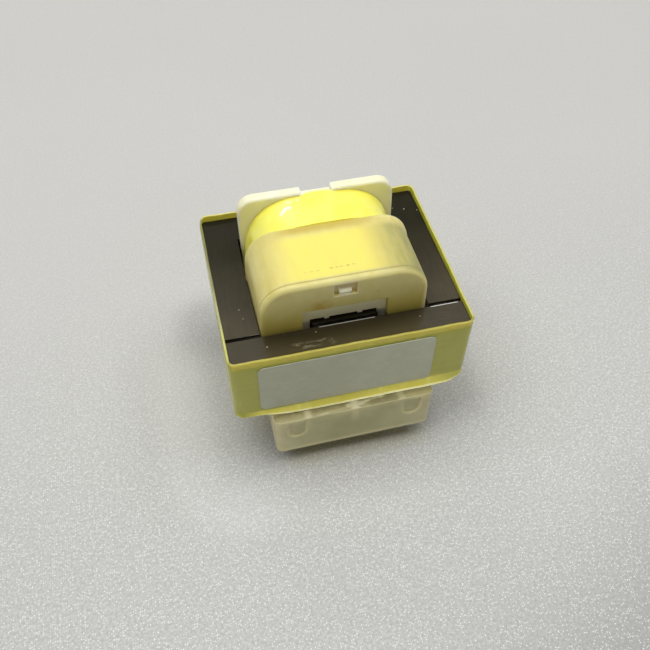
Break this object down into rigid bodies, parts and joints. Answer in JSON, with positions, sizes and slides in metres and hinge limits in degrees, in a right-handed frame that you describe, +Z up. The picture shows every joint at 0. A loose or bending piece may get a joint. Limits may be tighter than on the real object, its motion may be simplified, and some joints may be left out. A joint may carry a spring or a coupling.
{
  "type": "transformer",
  "caption": "Small board-mounted mains transformer with a flat EI core, yellow tape band, bare label, split nylon bobbin and a clip-on cover over the primary",
  "frame": {"origin": "middle of the core, in the plane of the pin tips", "axes": "X across the core's legs, Y from the label side to the back, Z up"},
  "size_m": [0.0358, 0.034, 0.0336],
  "materials": {
    "lamination_steel": "varnished, semi-gloss",
    "core_band_tape": "glossy film",
    "label_paper": "matte",
    "bobbin_nylon": "satin, slightly translucent",
    "enamelled_copper": "glossy enamel",
    "coil_tape": "glossy film",
    "cover_nylon": "satin, translucent",
    "tinned_pin": "bright tin"
  },
  "bodies": {
    "root": {"e_laminations": "lamination_steel", "i_laminations": "lamination_steel", "core_tape": "core_band_tape", "label": "label_paper", "bobbin": "bobbin_nylon", "primary_winding": "enamelled_copper", "secondary_winding": "enamelled_copper", "primary_tape": "coil_tape", "secondary_tape": "coil_tape", "primary_cover": "cover_nylon", "primary_pin_left": "tinned_pin", "primary_pin_right": "tinned_pin", "secondary_pin_left": "tinned_pin", "secondary_pin_right": "tinned_pin", "primary_start_lead": "enamelled_copper", "primary_finish_lead": "enamelled_copper", "secondary_start_lead": "enamelled_copper", "secondary_finish_lead": "enamelled_copper"}
  },
  "joints": []
}
